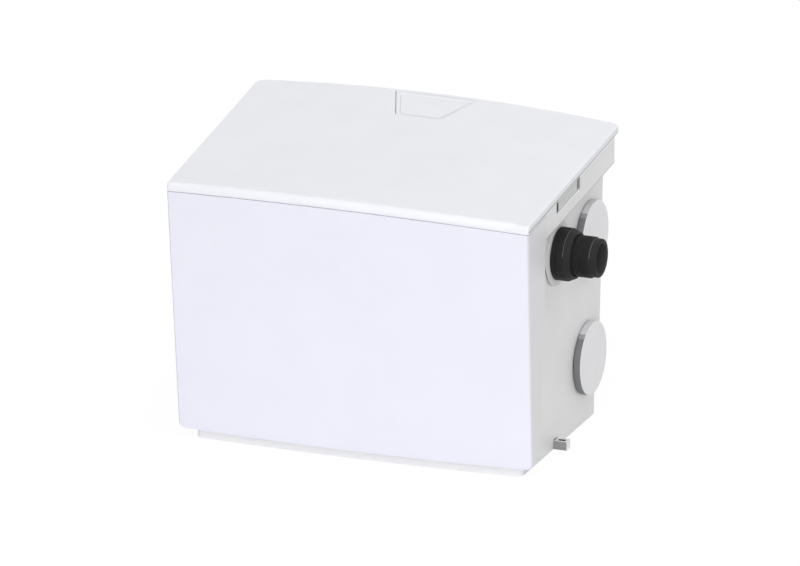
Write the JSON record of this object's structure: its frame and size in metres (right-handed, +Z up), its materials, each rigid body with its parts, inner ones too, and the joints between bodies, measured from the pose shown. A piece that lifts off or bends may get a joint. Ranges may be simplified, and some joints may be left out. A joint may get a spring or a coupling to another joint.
{
  "type": "sewage lifting unit",
  "caption": "White above-floor lifting unit: tank with domed lid, bowed front cover, capped side inlets, a threaded discharge, and a pump, float switch and flap valve inside.",
  "frame": {"origin": "on the floor, at the middle of the tank's foot", "axes": "+X out to the discharge side, +Y to the wall behind, +Z up"},
  "size_m": [0.4872, 0.316, 0.3551],
  "materials": {
    "tank_plastic": "moulded, satin",
    "lid_plastic": "moulded, satin",
    "cover_plastic": "moulded, smooth",
    "cap_plastic": "moulded, satin",
    "lug_plastic": "moulded",
    "grey_plastic": "moulded",
    "black_plastic": "moulded, fine grain",
    "float_plastic": "moulded",
    "seal_rubber": "moulded rubber",
    "pale_rubber": "moulded rubber",
    "carbon": "pressed granules",
    "stainless": "brushed",
    "bearing_steel": "ground",
    "lamination": "varnished laminations"
  },
  "bodies": {
    "tank": {"tank": "tank_plastic", "inlet_seals": "seal_rubber", "outlet_grommet": "pale_rubber", "outlet_flange": "black_plastic", "outlet_lock_nut": "black_plastic", "outlet_o_ring": "seal_rubber", "outlet_nipple": "black_plastic", "right_floor_lug": "lug_plastic", "left_floor_lug": "lug_plastic", "cable_gland": "grey_plastic", "gland_lock_nut": "grey_plastic", "pump_strainer": "black_plastic", "pump_volute": "black_plastic", "bearing_plate": "black_plastic", "motor_housing": "stainless", "motor_cover": "black_plastic", "pump_screws": "stainless", "pump_handle": "black_plastic", "pump_gland": "black_plastic", "shaft_seal": "seal_rubber", "lower_bearing": "bearing_steel", "upper_bearing": "bearing_steel", "motor_stator": "lamination", "pressure_pipe": "grey_plastic", "pipe_sleeve": "seal_rubber", "sleeve_clamps": "stainless", "valve_body": "grey_plastic", "flap_pin": "stainless", "float_bracket": "grey_plastic", "float_pin": "stainless", "right_lower_inlet": "tank_plastic", "right_upper_inlet": "tank_plastic", "left_lower_inlet": "tank_plastic", "left_upper_inlet": "tank_plastic"},
    "lid": {"lid": "lid_plastic", "lid_gasket": "seal_rubber", "filter_cassette": "grey_plastic", "carbon_filter": "carbon"},
    "vent_cover": {"vent_cover": "lid_plastic"},
    "front_cover": {"front_cover": "cover_plastic"},
    "right_latch": {"right_latch": "tank_plastic"},
    "left_latch": {"left_latch": "tank_plastic"},
    "union_nut": {"union_nut": "black_plastic"},
    "pump_rotor": {"pump_shaft": "bearing_steel", "motor_rotor": "lamination", "impeller": "black_plastic"},
    "float": {"float_lever": "grey_plastic", "float_ball": "float_plastic"},
    "valve_flap": {"valve_flap": "black_plastic"},
    "right_lower_cap": {"right_lower_cap": "cap_plastic"},
    "right_upper_cap": {"right_upper_cap": "cap_plastic"},
    "left_lower_cap": {"left_lower_cap": "cap_plastic"},
    "left_upper_cap": {"left_upper_cap": "cap_plastic"}
  },
  "joints": [
    {"name": "lid_lift", "type": "slide", "parent": "tank", "child": "lid", "axis": [0, 0, 1], "range_m": [0, 0.08]},
    {"name": "vent_cover_lift", "type": "slide", "parent": "lid", "child": "vent_cover", "axis": [0, 0, 1], "range_m": [0, 0.03]},
    {"name": "front_cover_pull", "type": "slide", "parent": "tank", "child": "front_cover", "axis": [0, -0.9959, -0.0906], "range_m": [0, 0.1]},
    {"name": "union_nut_turn", "type": "hinge", "parent": "tank", "child": "union_nut", "pos_m": [0.21345, -0.0215, 0.24], "axis": [1, 0, 0], "continuous": true},
    {"name": "pump_rotor_spin", "type": "hinge", "parent": "tank", "child": "pump_rotor", "pos_m": [-0.045, -0.0215, 0.08], "axis": [0, 0, 1], "continuous": true},
    {"name": "float_swing", "type": "hinge", "parent": "tank", "child": "float", "pos_m": [-0.122, -0.0215, 0.158], "axis": [0, 1, 0], "range_deg": [0, 70]},
    {"name": "valve_flap_swing", "type": "hinge", "parent": "tank", "child": "valve_flap", "pos_m": [0.14355, -0.0215, 0.2586], "axis": [0, -1, 0], "range_deg": [0, 45]},
    {"name": "right_latch_tip", "type": "hinge", "parent": "tank", "child": "right_latch", "pos_m": [0.20945, -0.01455, 0.29446], "axis": [0, -0.9959, -0.0906], "range_deg": [0, 8], "stiffness_Nm_per_rad": 0.3},
    {"name": "right_lower_cap_pull", "type": "slide", "parent": "tank", "child": "right_lower_cap", "axis": [1, 0, 0], "range_m": [0, 0.09]},
    {"name": "right_upper_cap_pull", "type": "slide", "parent": "tank", "child": "right_upper_cap", "axis": [1, 0, 0], "range_m": [0, 0.09]},
    {"name": "left_latch_tip", "type": "hinge", "parent": "tank", "child": "left_latch", "pos_m": [-0.20945, -0.01455, 0.29446], "axis": [0, 0.9959, 0.0906], "range_deg": [0, 8], "stiffness_Nm_per_rad": 0.3},
    {"name": "left_lower_cap_pull", "type": "slide", "parent": "tank", "child": "left_lower_cap", "axis": [-1, 0, 0], "range_m": [0, 0.09]},
    {"name": "left_upper_cap_pull", "type": "slide", "parent": "tank", "child": "left_upper_cap", "axis": [-1, 0, 0], "range_m": [0, 0.09]}
  ]
}
